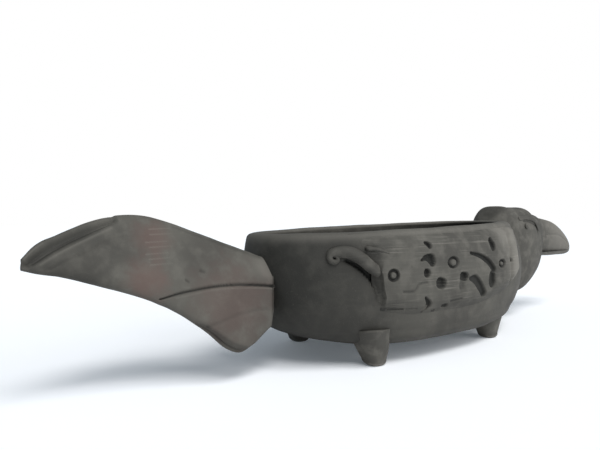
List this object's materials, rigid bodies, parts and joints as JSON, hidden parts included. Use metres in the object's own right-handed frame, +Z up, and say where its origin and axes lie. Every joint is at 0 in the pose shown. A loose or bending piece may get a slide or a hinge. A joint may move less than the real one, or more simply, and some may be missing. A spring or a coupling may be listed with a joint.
{
  "type": "incense burner",
  "caption": "Bird-shaped incense burner: an oval open bowl on stub feet, with a hooked-beak head, a leaning fan tail and relief wings.",
  "frame": {"origin": "on the ground, midway between the tip of the tail and the tip of the beak, on the bird's middle plane", "axes": "+X towards the head and beak, +Z up, -Y the bird's right side"},
  "size_m": [0.3588, 0.0876, 0.0717],
  "materials": {
    "bowl_clay": "unglazed, smoke-fired, smoothed",
    "wing_clay": "unglazed, smoke-fired, combed and stamped",
    "tail_clay": "unglazed, smoke-fired, with a reddish flash",
    "head_clay": "unglazed, smoke-fired, smoothed",
    "beak_clay": "unglazed, smoke-fired, smoothed"
  },
  "bodies": {
    "root": {"bowl_body": "bowl_clay", "tail_blade": "tail_clay", "neck": "head_clay", "head": "head_clay", "upper_beak": "beak_clay", "lower_beak": "beak_clay", "foot_rear_right": "bowl_clay", "foot_rear_left": "bowl_clay", "foot_front_right": "bowl_clay", "foot_front_left": "bowl_clay", "right_wing_panel": "wing_clay", "right_wing_scroll": "wing_clay", "right_wing_leaf": "wing_clay", "right_brow": "head_clay", "right_eye": "head_clay", "left_wing_panel": "wing_clay", "left_wing_scroll": "wing_clay", "left_wing_leaf": "wing_clay", "left_brow": "head_clay", "left_eye": "head_clay"}
  },
  "joints": []
}
